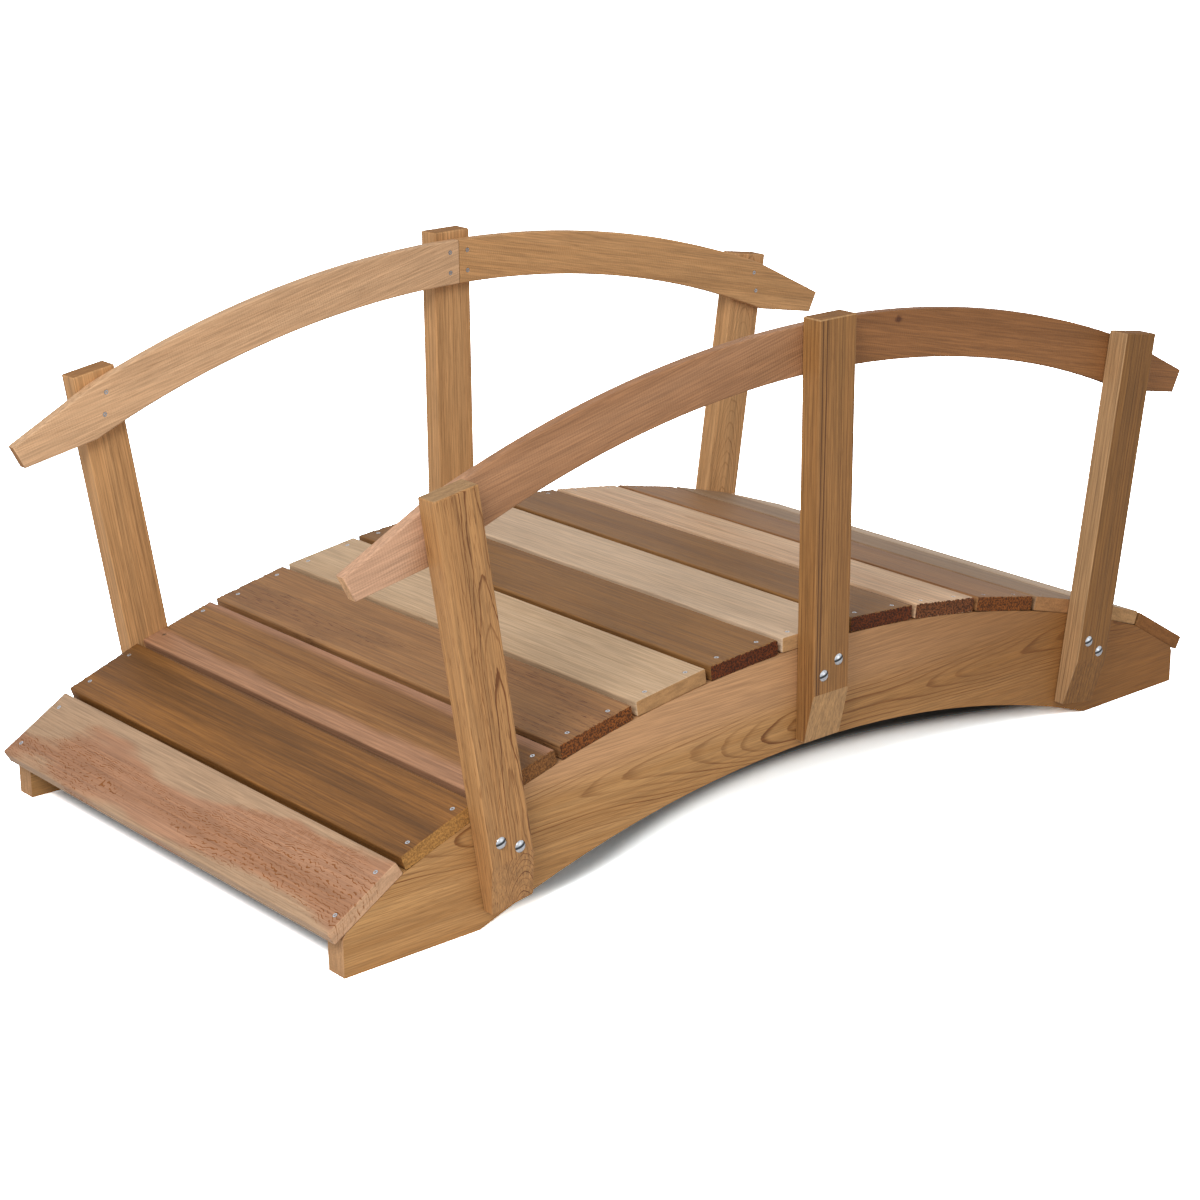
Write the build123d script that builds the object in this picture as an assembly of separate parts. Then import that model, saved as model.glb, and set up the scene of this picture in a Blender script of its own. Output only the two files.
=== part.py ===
from build123d import *
from math import asin, cos, degrees, radians, sin, sqrt, tan
import os

# Wooden arched garden bridge, in millimetres.
# X runs along the walkway from start to end, +Y is the left side of someone walking that way, Z is up.
# The origin is on the ground under the middle of the bridge.

# Overall
bridge_length = 1829.0
bridge_width = 914.0

# Stringers: two arched beams with flat feet and a sloped seat for each end board
stringer_thickness = 38.0
stringer_crown_height = 283.0
stringer_seat_drop = 19.0
arch_height = 120.0
foot_length = 240.0
end_face_height = 64.0
end_slope = 31.0
end_chamfer = 6.0

# Deck boards
board_width = 141.0
board_thickness = 25.0
least_board_gap = 8.0
board_ease = 3.0
deck_end_clearance = 2.5
end_board_set_back = 2.5

# Posts
post_width = 78.0
post_thickness = 38.0
post_ease = 3.0
post_top_stand = 14.0
end_post_set_back = 285.5
end_post_angle = 8.7
end_post_foot_rise = 17.0
middle_post_foot_rise = 10.0
post_bevel_length = 83.0
post_bevel_tip = 19.0

# Handrails: two curved boards a side that meet at the middle post, with straight tails
rail_thickness = 20.0
rail_crown_height = 798.0
rail_middle_depth = 77.5
rail_top_rise = 140.8
rail_bottom_rise = 152.3
rail_end_set_back = 24.5
rail_tail_reach = 150.0
rail_top_tail_slope = 27.0
rail_bottom_tail_slope = 10.5
rail_joint_gap = 1.0
rail_ease = 2.5

# Carriage bolts, two through each post and stringer
bolt_diameter = 8.0
bolt_hole_clearance = 0.5
bolt_head_diameter = 19.0
bolt_head_height = 4.6
bolt_neck_depth = 5.0
bolt_spread_across = 32.0
bolt_spread_along = 20.0
end_bolt_drop = 48.0
middle_bolt_drop = 30.0
washer_diameter = 18.0
washer_thickness = 1.6
nut_across_flats = 13.0
nut_thickness = 6.5
bolt_tip_stand = 4.0

# Sizes that follow from the ones above
half_length = bridge_length / 2
half_width = bridge_width / 2
end_post_foot_x = half_length - end_post_set_back
rail_curve_reach = half_length - rail_end_set_back - rail_tail_reach
rail_bottom_crown = rail_crown_height - rail_middle_depth
bolt_grip = post_thickness + stringer_thickness
sides = {"left": 1, "right": -1}
ends = {"start": -1, "end": 1}


def arc_radius(half_span, rise):
    """Radius of a circle that falls by rise between mid span and half_span."""
    return (half_span**2 + rise**2) / (2 * rise)


# The crown's curve passes so far over the outer edge of each end seat.
stringer_crown_rise = stringer_crown_height - end_face_height - stringer_seat_drop
stringer_crown_radius = arc_radius(half_length, stringer_crown_rise)
arch_half_span = half_length - foot_length
arch_radius = arc_radius(arch_half_span, arch_height)
rail_top_radius = arc_radius(rail_curve_reach, rail_top_rise)
rail_bottom_radius = arc_radius(rail_curve_reach, rail_bottom_rise)


def at(x, z):
    """Point in the upright plane along the middle of the bridge."""
    return Vector(x, 0, z)


def arc_height(x, crown, radius):
    """Height at x of a circle that peaks at crown over the middle of the bridge."""
    return crown - radius + sqrt(radius**2 - x**2)


def end_seat_top():
    """Distance from mid span and height at which the end seat meets the arched top of a stringer."""
    slope = radians(end_slope)
    # The seat is the line (half_length - s cos, end_face_height + s sin), cut with the crown's circle.
    above_centre = end_face_height - stringer_crown_height + stringer_crown_radius
    half_b = above_centre * sin(slope) - half_length * cos(slope)
    c = half_length**2 + above_centre**2 - stringer_crown_radius**2
    s = sqrt(half_b**2 - c) - half_b
    return half_length - s * cos(slope), end_face_height + s * sin(slope)


def side_slab(edges, thickness, side):
    """Slab of an upright outline, with its outer face flush with the side of the deck."""
    slab = extrude(make_face(edges), amount=thickness, dir=(0, 1, 0))
    lowest_y = half_width - thickness if side > 0 else -half_width
    return Pos(0, lowest_y, 0) * slab


# The boards on the arch divide its length between the end seats evenly.
seat_angle = asin(end_seat_top()[0] / stringer_crown_radius)
deck_arc = 2 * (stringer_crown_radius * seat_angle - deck_end_clearance)
boards_on_arch = int((deck_arc + least_board_gap) // (board_width + least_board_gap))
board_pitch = (deck_arc - board_width) / (boards_on_arch - 1)
board_pitch_angle = degrees(board_pitch / stringer_crown_radius)


def distance_to_curve(foot, direction, crown, radius, stand):
    """Distance along a post's axis to the point that stands so far over a curve."""
    distance = 0.0
    # Each pass moves the point up the leaning axis, closer to its place over the curve.
    for _ in range(20):
        point = foot + direction * distance
        distance += arc_height(point.X, crown, radius) + stand - point.Z
    return distance


def post_plan(foot_x, lean, foot_rise, bolt_drop, right_bolt_lift):
    """Place of a post, whose axis runs from its foot centre to just over the handrail."""
    foot = at(foot_x, arc_height(foot_x, arch_height, arch_radius) + foot_rise)
    direction = at(sin(radians(lean)), cos(radians(lean)))
    across = at(cos(radians(lean)), -sin(radians(lean)))
    length = distance_to_curve(foot, direction, rail_crown_height, rail_top_radius, post_top_stand)
    bolt_rise = distance_to_curve(foot, direction, stringer_crown_height, stringer_crown_radius, -bolt_drop)
    middle = foot + direction * bolt_rise
    offset = across * (bolt_spread_across / 2) + direction * (right_bolt_lift / 2)
    return {"foot": foot, "lean": lean, "length": length, "bolts": [middle - offset, middle + offset]}


post_plans = {"middle": post_plan(0.0, 0.0, middle_post_foot_rise, middle_bolt_drop, bolt_spread_along)}
for end_name, end in ends.items():
    lean = end * end_post_angle
    plan = post_plan(end * end_post_foot_x, lean, end_post_foot_rise, end_bolt_drop, -bolt_spread_along)
    post_plans[end_name] = plan


def lying_cylinder(radius, length):
    """Cylinder along Y."""
    return Rot(90, 0, 0) * Cylinder(radius, length)


def bolt_holes(side):
    """Round holes through the posts and the stringer of one side."""
    radius = (bolt_diameter + bolt_hole_clearance) / 2
    hole = lying_cylinder(radius, 3 * bolt_grip)
    return [Pos(c.X, side * half_width, c.Z) * hole for plan in post_plans.values() for c in plan["bolts"]]


def neck_pockets(plan, side):
    """Square pockets in a post's outer face for the necks of its bolts."""
    width = bolt_diameter + bolt_hole_clearance
    pocket = Rot(0, plan["lean"], 0) * Box(width, bolt_neck_depth, width)
    y = side * (half_width + post_thickness - bolt_neck_depth / 2)
    return [Pos(c.X, y, c.Z) * pocket for c in plan["bolts"]]


def stringer(side):
    """Arched beam with two flat feet, upright ends and sloped seats for the end boards."""
    seat_x, seat_z = end_seat_top()
    outline = [
        ThreePointArc(at(-seat_x, seat_z), at(0, stringer_crown_height), at(seat_x, seat_z)),
        ThreePointArc(at(-arch_half_span, 0), at(0, arch_height), at(arch_half_span, 0)),
    ]
    for end in ends.values():
        corners = [(seat_x, seat_z), (half_length, end_face_height), (half_length, 0), (arch_half_span, 0)]
        outline.append(Polyline(*[at(end * x, z) for x, z in corners]))
    beam = side_slab(outline, stringer_thickness, side)
    cross_edges = beam.edges().filter_by(Axis.Y)
    tips = cross_edges.filter_by(lambda e: abs(e.center().Z - end_face_height) < end_chamfer)
    return chamfer(tips, end_chamfer) - bolt_holes(side)


def board(x, z, slope):
    """Deck board with the middle of its underside at x and z, tipped by slope degrees."""
    blank = Box(board_width, bridge_width, board_thickness, align=(Align.CENTER, Align.CENTER, Align.MIN))
    blank = fillet(blank.edges().filter_by(Axis.Y), board_ease)
    return Pos(x, 0, z) * Rot(0, slope, 0) * blank


def arch_board(steps):
    """Board that lies on the arched top, so many steps from the middle one."""
    slope = steps * board_pitch_angle
    x = stringer_crown_radius * sin(radians(slope))
    return board(x, arc_height(x, stringer_crown_height, stringer_crown_radius), slope)


def end_board(end):
    """Steeper board on the sloped seat, which overhangs the end of the stringers."""
    seat_x, seat_z = end_seat_top()
    reach = end_board_set_back + board_width / 2
    x = seat_x + reach * cos(radians(end_slope))
    z = seat_z - reach * sin(radians(end_slope))
    return board(end * x, z, end * end_slope)


def post(plan, side):
    """Square-cut post on the outer face of a stringer, bevelled at the foot of its outer face."""
    blank = Box(post_width, post_thickness, plan["length"], align=(Align.CENTER, Align.MIN, Align.MIN))
    blank = fillet(blank.edges(), post_ease)
    outside = 2 * post_thickness
    bevel = Polyline(
        (-post_width, post_bevel_tip, 0),
        (-post_width, post_thickness, post_bevel_length),
        (-post_width, outside, post_bevel_length),
        (-post_width, outside, -post_thickness),
        (-post_width, post_bevel_tip, -post_thickness),
        close=True,
    )
    blank = blank - extrude(make_face(bevel), amount=2 * post_width, dir=(1, 0, 0))
    if side < 0:
        blank = blank.mirror(Plane.XZ)
    foot = plan["foot"]
    placed = Pos(foot.X, side * half_width, foot.Z) * Rot(0, plan["lean"], 0) * blank
    return placed - bolt_holes(side) - neck_pockets(plan, side)


def handrail(side, end):
    """Half of a handrail: a curved board whose tail runs straight past the end post."""
    joint_x = rail_joint_gap / 2
    middle_x = (joint_x + rail_curve_reach) / 2
    curve_x = (joint_x, middle_x, rail_curve_reach)
    top = [at(end * x, arc_height(x, rail_crown_height, rail_top_radius)) for x in curve_x]
    bottom = [at(end * x, arc_height(x, rail_bottom_crown, rail_bottom_radius)) for x in curve_x]
    top_slope = radians(rail_top_tail_slope)
    bottom_fall = tan(radians(rail_bottom_tail_slope))
    tip_x = rail_curve_reach + rail_tail_reach
    tip_z = top[-1].Z - rail_tail_reach * tan(top_slope)
    # The end cut runs down from the tip, square to the top edge, until it meets the bottom edge.
    drop = tip_z - bottom[-1].Z + rail_tail_reach * bottom_fall
    cut = drop / (cos(top_slope) + sin(top_slope) * bottom_fall)
    heel = at(end * (tip_x - cut * sin(top_slope)), tip_z - cut * cos(top_slope))
    outline = [
        ThreePointArc(*top),
        Polyline(top[-1], at(end * tip_x, tip_z), heel, bottom[-1]),
        ThreePointArc(*bottom),
        Line(bottom[0], top[0]),
    ]
    rail = side_slab(outline, rail_thickness, side)
    middle_y = side * (half_width - rail_thickness / 2)
    rims = rail.edges().filter_by(lambda e: abs(e.center().Y - middle_y) > rail_thickness / 4)
    rims = rims.filter_by(lambda e: abs(e.center().X) > 2 * joint_x)
    return fillet(rims, rail_ease)


def carriage_bolt(place, lean, side):
    """Domed bolt with a square neck, through post and stringer, with a washer and a nut inside."""
    dome_radius = ((bolt_head_diameter / 2) ** 2 + bolt_head_height**2) / (2 * bolt_head_height)
    ball = Pos(0, bolt_head_height - dome_radius, 0) * Sphere(dome_radius)
    head = split(ball, Plane(origin=(0, 0, 0), z_dir=(0, 1, 0)), keep=Keep.TOP)
    neck = Pos(0, -bolt_neck_depth / 2, 0) * Box(bolt_diameter, bolt_neck_depth, bolt_diameter)
    shank_length = bolt_grip + washer_thickness + nut_thickness + bolt_tip_stand
    shank = Pos(0, -shank_length / 2, 0) * lying_cylinder(bolt_diameter / 2, shank_length)
    washer = lying_cylinder(washer_diameter / 2, washer_thickness)
    washer = Pos(0, -bolt_grip - washer_thickness / 2, 0) * washer
    hexagon = RegularPolygon(nut_across_flats / 2, 6, major_radius=False)
    nut = Rot(90, 0, 0) * extrude(hexagon, amount=nut_thickness / 2, both=True)
    nut = Pos(0, -bolt_grip - washer_thickness - nut_thickness / 2, 0) * nut
    bolt = head + neck + shank + washer + nut
    if side < 0:
        bolt = bolt.mirror(Plane.XZ)
    return Pos(place.X, side * (half_width + post_thickness), place.Z) * Rot(0, lean, 0) * bolt


def save(solid, name):
    """Write one node's solid or solids."""
    export_step(solid, f"parts/{name}.step")


os.makedirs("parts", exist_ok=True)

for side_name, side in sides.items():
    save(stringer(side), f"stringer_{side_name}")
    for end_name, end in ends.items():
        save(handrail(side, end), f"handrail_{side_name}_{end_name}")
    for place_name, plan in post_plans.items():
        save(post(plan, side), f"post_{side_name}_{place_name}")
        pair = [carriage_bolt(place, plan["lean"], side) for place in plan["bolts"]]
        save(Compound(children=pair), f"bolts_{side_name}_{place_name}")

arch_steps = [number - (boards_on_arch - 1) / 2 for number in range(boards_on_arch)]
deck = [end_board(-1)] + [arch_board(steps) for steps in arch_steps] + [end_board(1)]
for number, plank in enumerate(deck, start=1):
    save(plank, f"deck_board_{number:02d}")
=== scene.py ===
import logging
import math
import random
from collections.abc import Iterable
from dataclasses import dataclass, replace
from enum import Enum

import bmesh
import bpy
from mathutils import Matrix, Vector


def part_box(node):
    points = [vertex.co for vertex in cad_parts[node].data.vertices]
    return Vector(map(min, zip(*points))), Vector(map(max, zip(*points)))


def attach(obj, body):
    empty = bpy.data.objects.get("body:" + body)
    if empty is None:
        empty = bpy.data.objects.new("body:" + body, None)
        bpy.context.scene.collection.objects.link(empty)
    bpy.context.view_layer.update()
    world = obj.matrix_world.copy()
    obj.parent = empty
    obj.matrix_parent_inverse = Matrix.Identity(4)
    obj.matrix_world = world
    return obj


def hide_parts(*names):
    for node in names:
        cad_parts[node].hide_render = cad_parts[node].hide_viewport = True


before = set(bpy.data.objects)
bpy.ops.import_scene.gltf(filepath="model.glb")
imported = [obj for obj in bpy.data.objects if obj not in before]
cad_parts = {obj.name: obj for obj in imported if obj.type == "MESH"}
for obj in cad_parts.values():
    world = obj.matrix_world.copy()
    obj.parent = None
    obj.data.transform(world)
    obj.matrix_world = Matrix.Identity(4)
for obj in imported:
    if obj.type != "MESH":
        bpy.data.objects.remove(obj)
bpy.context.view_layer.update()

log = logging.getLogger("garden_bridge")

Colour = tuple[float, float, float]
Socket = bpy.types.NodeSocket
Owner = bpy.types.Material | bpy.types.World
# What an input socket takes: an output socket or a plain value.
Feed = Socket | float | tuple[float, ...]

# Distances in metres within which points count as one, and as lying in a face.
TOUCH = 1e-6
FACE_REACH = 1e-5


def srgb(red: int, green: int, blue: int) -> Colour:
    """Linear colour of a tone named by its eye values from 0 to 255.

    Args:
        red: Red share.
        green: Green share.
        blue: Blue share.

    Returns:
        The three linear shares, from 0 to 1.
    """
    def linear(value: int) -> float:
        """Linear share of one eye value."""
        share = value / 255
        return share / 12.92 if share <= 0.04045 else ((share + 0.055) / 1.055) ** 2.4
    return linear(red), linear(green), linear(blue)


class Grain(Enum):
    """How a piece was cut from its log: its axes along the grain, across the face and through it."""

    BOARD = ("Y", "X", "Z")
    BEAM = ("X", "Z", "Y")
    POST = ("Z", "X", "Y")


@dataclass(frozen=True)
class WoodTone:
    """Colours of one stick of cedar.

    Attributes:
        early: Pale wood between the rings.
        late: Dark line of each ring.
        streak: Tone of the broad lengthwise bands.
        end: Sawn end grain.
    """

    early: Colour
    late: Colour
    streak: Colour
    end: Colour


@dataclass(frozen=True)
class WoodFigure:
    """Shape of the rings and the sawn surface of one stick.

    Attributes:
        ring: Spacing of the rings, in metres.
        pith_across: Place of the pith across the face, in metres from the middle.
        pith_depth: Place of the pith through the stick, in metres from the middle.
        taper: Growth of the rings along the grain, metres a metre.
        wave: How far the rings wander, in metres.
        contrast: Strength of the ring lines.
        dark: Share of each ring that its dark line takes.
        bands: Strength of the broad lengthwise bands.
        streaks: Strength of the fine lengthwise streaks.
        curl: Size of the curls where the rings lie almost flat in the face, in rings.
        curl_length: Length of one curl, in metres.
        broken: How far the lines are broken up into dashes.
        spread: Half width of the zone round the pith's line in which the lines are strong, in metres.
        flecks: Strength of the short dark flecks between the lines.
        saw: Strength of the ripples that the saw left across the grain.
        ragged: Roughness of the sawn ends.
        jitter: How far the lines wobble, in rings.
        fresh: How far a face cut slantwise across the grain is paler than the rest.
    """

    ring: float = 0.004
    pith_across: float = 0.02
    pith_depth: float = -0.12
    taper: float = 0.02
    wave: float = 0.012
    contrast: float = 0.5
    dark: float = 0.4
    bands: float = 0.5
    streaks: float = 1.0
    curl: float = 0.0
    curl_length: float = 0.018
    broken: float = 0.0
    spread: float = 1.0
    flecks: float = 0.0
    saw: float = 0.0
    ragged: float = 0.5
    jitter: float = 0.9
    fresh: float = 0.0


@dataclass(frozen=True)
class Strip:
    """Long strip of another colour in a stick, such as sapwood along one edge.

    Attributes:
        colour: Its tone.
        edge: Where it begins across the face, in metres from the middle, towards the side.
        side: 1 or -1, the side of the face that it lies on.
        wander: How far its border wanders, in metres.
        width: Its width, in metres.
        soft: Half width of its blurred border, in metres.
        wave: How often its border wanders, a metre.
        lean: Growth of the strip along the grain, metres a metre.
        clears: How far it hides the ring lines.
    """

    colour: Colour
    edge: float
    side: int = 1
    wander: float = 0.03
    width: float = 1.0
    soft: float = 0.01
    wave: float = 3.0
    lean: float = 0.0
    clears: float = 0.85


@dataclass(frozen=True)
class Knot:
    """Small dark knot in the face of a stick.

    Attributes:
        along: Its place along the grain, in metres from the middle.
        across: Its place across the face, in metres from the middle.
        radius: Its radius, in metres.
    """

    along: float
    across: float
    radius: float


class Pattern(Enum):
    """Noise patterns of the wood: repeats a metre along, across and through the stick, octaves, roughness."""

    SPECKLE = (700.0, 300.0, 300.0, 3.0, 0.65)
    BROAD_BANDS = (0.8, 24.0, 24.0, 4.0, 0.6)
    FINE_STREAKS = (4.0, 230.0, 230.0, 5.0, 0.62)
    FIBRES = (14.0, 520.0, 520.0, 2.0, 0.5)
    RING_WANDER = (1.7, 6.0, 6.0, 2.0, 0.5)
    RING_WOBBLE = (11.0, 70.0, 70.0, 3.0, 0.6)
    LINE_PATCHES = (2.2, 12.0, 12.0, 2.0, 0.5)
    LINE_GAPS = (70.0, 150.0, 150.0, 1.0, 0.5)
    FLECKS = (30.0, 640.0, 640.0, 1.0, 0.5)
    KNOT_EDGE = (160.0, 160.0, 160.0, 2.0, 0.5)
    END_CLOUDS = (40.0, 40.0, 160.0, 4.0, 0.6)
    SAW_SWAY = (6.0, 12.0, 12.0, 1.0, 0.5)


class Fade(Enum):
    """Values of a noise pattern between which its effect comes in."""

    BANDS = (0.36, 0.64)
    STREAKS = (0.3, 0.68)
    PORES = (0.62, 0.74)
    FIBRES = (0.34, 0.66)
    LINE_PATCHES = (0.3, 0.55)
    BROKEN_PATCHES = (0.36, 0.5)
    LINE_GAPS = (0.46, 0.52)
    FLECKS = (0.6, 0.68)
    SPECKLE = (0.46, 0.54)
    END_CLOUDS = (0.32, 0.68)
    DULL_ZINC = (0.35, 0.7)


class NodeGraph:
    """Small helper that adds and links shader nodes of one material or of the world."""

    def __init__(self, owner: Owner) -> None:
        """Start an empty graph.

        Args:
            owner: New material or world that the graph belongs to.
        """
        self.owner = owner
        owner.use_nodes = True
        self.tree = owner.node_tree
        self.tree.nodes.clear()

    def add(self, kind: str, **settings: str) -> bpy.types.Node:
        """Add one node.

        Args:
            kind: Blender's name of the node type.
            settings: Properties to set on it.

        Returns:
            The new node.
        """
        node = self.tree.nodes.new(kind)
        for key, value in settings.items():
            setattr(node, key, value)
        return node

    def feed(self, socket: Socket, value: Feed) -> None:
        """Link an output to a socket, or set the socket's own value.

        Args:
            socket: Input socket.
            value: An output socket or a plain value.
        """
        if isinstance(value, Socket):
            self.tree.links.new(value, socket)
        else:
            socket.default_value = value

    def feed_all(self, sockets: Iterable[Socket], values: Iterable[Feed]) -> None:
        """Feed the first sockets of a node, in order.

        Args:
            sockets: Input sockets.
            values: Output sockets or plain values.
        """
        for socket, value in zip(sockets, values):
            self.feed(socket, value)

    def math(self, operation: str, *values: Feed) -> Socket:
        """Result of a math node.

        Args:
            operation: Name of the operation.
            values: Its inputs, in order.

        Returns:
            The output socket.
        """
        node = self.add("ShaderNodeMath", operation=operation)
        self.feed_all(node.inputs, values)
        return node.outputs[0]

    def vector(self, operation: str, first: Feed, second: Feed) -> bpy.types.Node:
        """Vector math node with two inputs.

        Args:
            operation: Name of the operation.
            first: First vector.
            second: Second vector.

        Returns:
            The node.
        """
        node = self.add("ShaderNodeVectorMath", operation=operation)
        self.feed_all(node.inputs, (first, second))
        return node

    def split(self, vector: Socket) -> bpy.types.bpy_prop_collection:
        """The X, Y and Z outputs of a vector."""
        node = self.add("ShaderNodeSeparateXYZ")
        self.feed(node.inputs[0], vector)
        return node.outputs

    def noise(
        self, vector: Socket, scale: float = 1.0, detail: float = 2.0, rough: float = 0.5, output: str = "Fac"
    ) -> Socket:
        """Value of a noise texture.

        Args:
            vector: Place at which it is read.
            scale: Fineness.
            detail: Octaves.
            rough: Strength of the finer octaves.
            output: Which output is read.

        Returns:
            The noise, about 0.5 in the mean.
        """
        node = self.add("ShaderNodeTexNoise")
        self.feed(node.inputs["Vector"], vector)
        node.inputs["Scale"].default_value = scale
        node.inputs["Detail"].default_value = detail
        node.inputs["Roughness"].default_value = rough
        return node.outputs[output]

    def pattern(self, place: Socket, pattern: Pattern, output: str = "Fac") -> Socket:
        """Value of one of the wood's noise patterns.

        Args:
            place: Place in the noise.
            pattern: Which pattern.
            output: Which output is read.

        Returns:
            The noise, about 0.5 in the mean.
        """
        *repeats, detail, rough = pattern.value
        stretched = self.vector("MULTIPLY", place, tuple(repeats)).outputs[0]
        return self.noise(stretched, detail=detail, rough=rough, output=output)

    def ramp(self, value: Socket, start: float, stop: float, low: Feed = 0.0, high: Feed = 1.0) -> Socket:
        """Smooth step of a value.

        Args:
            value: Output to read.
            start: Value at which the step begins.
            stop: Value at which it ends.
            low: Result before it.
            high: Result after it.

        Returns:
            The stepped value.
        """
        node = self.add("ShaderNodeMapRange", interpolation_type="SMOOTHSTEP")
        self.feed_all(node.inputs, (value, start, stop, low, high))
        return node.outputs[0]

    def mix(self, share: Feed, first: Feed, second: Feed, blend: str = "MIX") -> Socket:
        """Mix of two colours.

        Args:
            share: Share of the second.
            first: First colour.
            second: Second colour.
            blend: How they are blended.

        Returns:
            The mixed colour.
        """
        node = self.add("ShaderNodeMix", data_type="RGBA", blend_type=blend)
        self.feed(node.inputs["Factor"], share)
        for name, value in (("A", first), ("B", second)):
            socket = next(s for s in node.inputs if s.name == name and s.type == "RGBA")
            self.feed(socket, value if isinstance(value, Socket) else (*value, 1.0))
        return next(s for s in node.outputs if s.type == "RGBA")

    def shaded(self, colour: Feed, share: Feed) -> Socket:
        """Colour made lighter or darker.

        Args:
            colour: Colour to change.
            share: Factor on each of its channels.

        Returns:
            The changed colour.
        """
        grey = self.add("ShaderNodeCombineColor")
        self.feed_all(grey.inputs, (share, share, share))
        return self.mix(1.0, colour, grey.outputs[0], "MULTIPLY")

    def close(self, shader: Socket, kind: str = "ShaderNodeOutputMaterial") -> Owner:
        """Close the graph with its output node.

        Args:
            shader: Shader output.
            kind: Type of the output node.

        Returns:
            The material or world.
        """
        self.feed(self.add(kind).inputs["Surface"], shader)
        return self.owner


@dataclass(frozen=True)
class GrainPlace:
    """Where a point lies in its stick, as outputs of the shader.

    Attributes:
        along: Place along the grain.
        across: Place across the face.
        through: Place through the stick.
        noise: Place in the noise.
    """

    along: Socket
    across: Socket
    through: Socket
    noise: Socket


@dataclass(frozen=True)
class CedarFinish:
    """Procedural cedar of one stick, with its rings, streaks, pores and sawn ends.

    Attributes:
        tone: Colours.
        figure: Rings and surface.
        grain: How the stick was cut.
        centre: Middle of the stick, in metres.
        tilt: Its turn about Y, in radians.
        seed: Place in the noise, different for each stick.
        strips: Its strips of another colour.
        knots: Its knots.
        fresh_wood: Tone that a slanted cut lays bare.
        seed_step: Way in the noise from one seed to the next.
        end_facing: How squarely a face cuts the grain where end grain begins, and where it is full.
        slant_facing: The same for a slanted cut.
        slant_fade: How far a slanted cut hides the ring lines.
        slant_pale: Share of the fresh wood's tone on it.
        line_peak: Share of a ring at which its line is darkest, and at which its sharp edge begins.
        faintest: Strength of the faintest ring, as a share of the strongest.
        broken_haze: Darkness that broken lines leave between their dashes.
        knot_squash: Height of a knot over its length.
        shine: Specular level.
        relief: Strength of the bump.
        relief_depth: Depth of the bump, in metres.
        saw_pitch: Spacing of the ripples that the saw left, in metres.
    """

    tone: WoodTone
    figure: WoodFigure
    grain: Grain
    centre: tuple[float, float, float]
    tilt: float
    seed: float
    strips: tuple[Strip, ...] = ()
    knots: tuple[Knot, ...] = ()
    fresh_wood: Colour = srgb(206, 168, 122)
    seed_step: tuple[float, float, float] = (3.7, 1.9, 2.3)
    end_facing: tuple[float, float] = (0.72, 0.93)
    slant_facing: tuple[float, float] = (0.1, 0.18)
    slant_fade: float = 0.7
    slant_pale: float = 0.4
    line_peak: tuple[float, float] = (0.93, 0.94)
    faintest: float = 0.3
    broken_haze: float = 0.14
    knot_squash: float = 0.6
    shine: float = 0.26
    relief: float = 0.6
    relief_depth: float = 0.0006
    saw_pitch: float = 0.0045

    def material(self, name: str) -> bpy.types.Material:
        """Build the material.

        Args:
            name: Name of the material.

        Returns:
            The material.
        """
        g = NodeGraph(bpy.data.materials.new(name))
        coordinates = g.add("ShaderNodeTexCoord")
        at = self.locate(g, coordinates)
        facing = self.facing(g, coordinates)
        end = g.ramp(facing, *self.end_facing)
        slant = g.math("MULTIPLY", g.ramp(facing, *self.slant_facing), self.figure.fresh)
        speckle = g.pattern(at.noise, Pattern.SPECKLE)
        fine = g.pattern(at.noise, Pattern.FINE_STREAKS)

        line, colour = self.figured(g, at, slant)
        colour = g.mix(g.math("MULTIPLY", slant, self.slant_pale), colour, self.fresh_wood)
        colour = g.shaded(colour, self.streaks(g, at, fine))
        colour = g.mix(end, colour, self.end_colour(g, at, speckle, line))

        shader = g.add("ShaderNodeBsdfPrincipled")
        g.feed(shader.inputs["Base Color"], colour)
        rough = g.math("MULTIPLY_ADD", fine, 0.25, 0.45)
        g.feed(shader.inputs["Roughness"], g.math("MULTIPLY_ADD", end, 0.25, rough))
        shader.inputs["Specular IOR Level"].default_value = self.shine
        g.feed(shader.inputs["Normal"], self.bump(g, at, fine, end, speckle))
        return g.close(shader.outputs[0])

    def locate(self, g: NodeGraph, coordinates: bpy.types.Node) -> GrainPlace:
        """Place in the stick, turned and centred with it.

        Args:
            g: Graph of the material.
            coordinates: Texture coordinates.

        Returns:
            The place.
        """
        mapping = g.add("ShaderNodeMapping", vector_type="TEXTURE")
        g.feed(mapping.inputs["Vector"], coordinates.outputs["Object"])
        mapping.inputs["Location"].default_value = self.centre
        mapping.inputs["Rotation"].default_value = (0.0, self.tilt, 0.0)
        axes = g.split(mapping.outputs[0])
        turned = [axes[axis] for axis in self.grain.value]
        local = g.add("ShaderNodeCombineXYZ")
        g.feed_all(local.inputs, turned)
        shift = tuple(self.seed * step for step in self.seed_step)
        return GrainPlace(*turned, g.vector("ADD", local.outputs[0], shift).outputs[0])

    def facing(self, g: NodeGraph, coordinates: bpy.types.Node) -> Socket:
        """How squarely a face cuts the grain.

        Args:
            g: Graph of the material.
            coordinates: Texture coordinates.

        Returns:
            0 on a face along the grain and 1 on a sawn end.
        """
        axis = {"X": (1.0, 0.0, 0.0), "Y": (0.0, 1.0, 0.0), "Z": (0.0, 0.0, 1.0)}[self.grain.value[0]]
        turned = Matrix.Rotation(self.tilt, 3, "Y") @ Vector(axis)
        dot = g.vector("DOT_PRODUCT", coordinates.outputs["Normal"], tuple(turned))
        return g.math("ABSOLUTE", dot.outputs["Value"])

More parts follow.
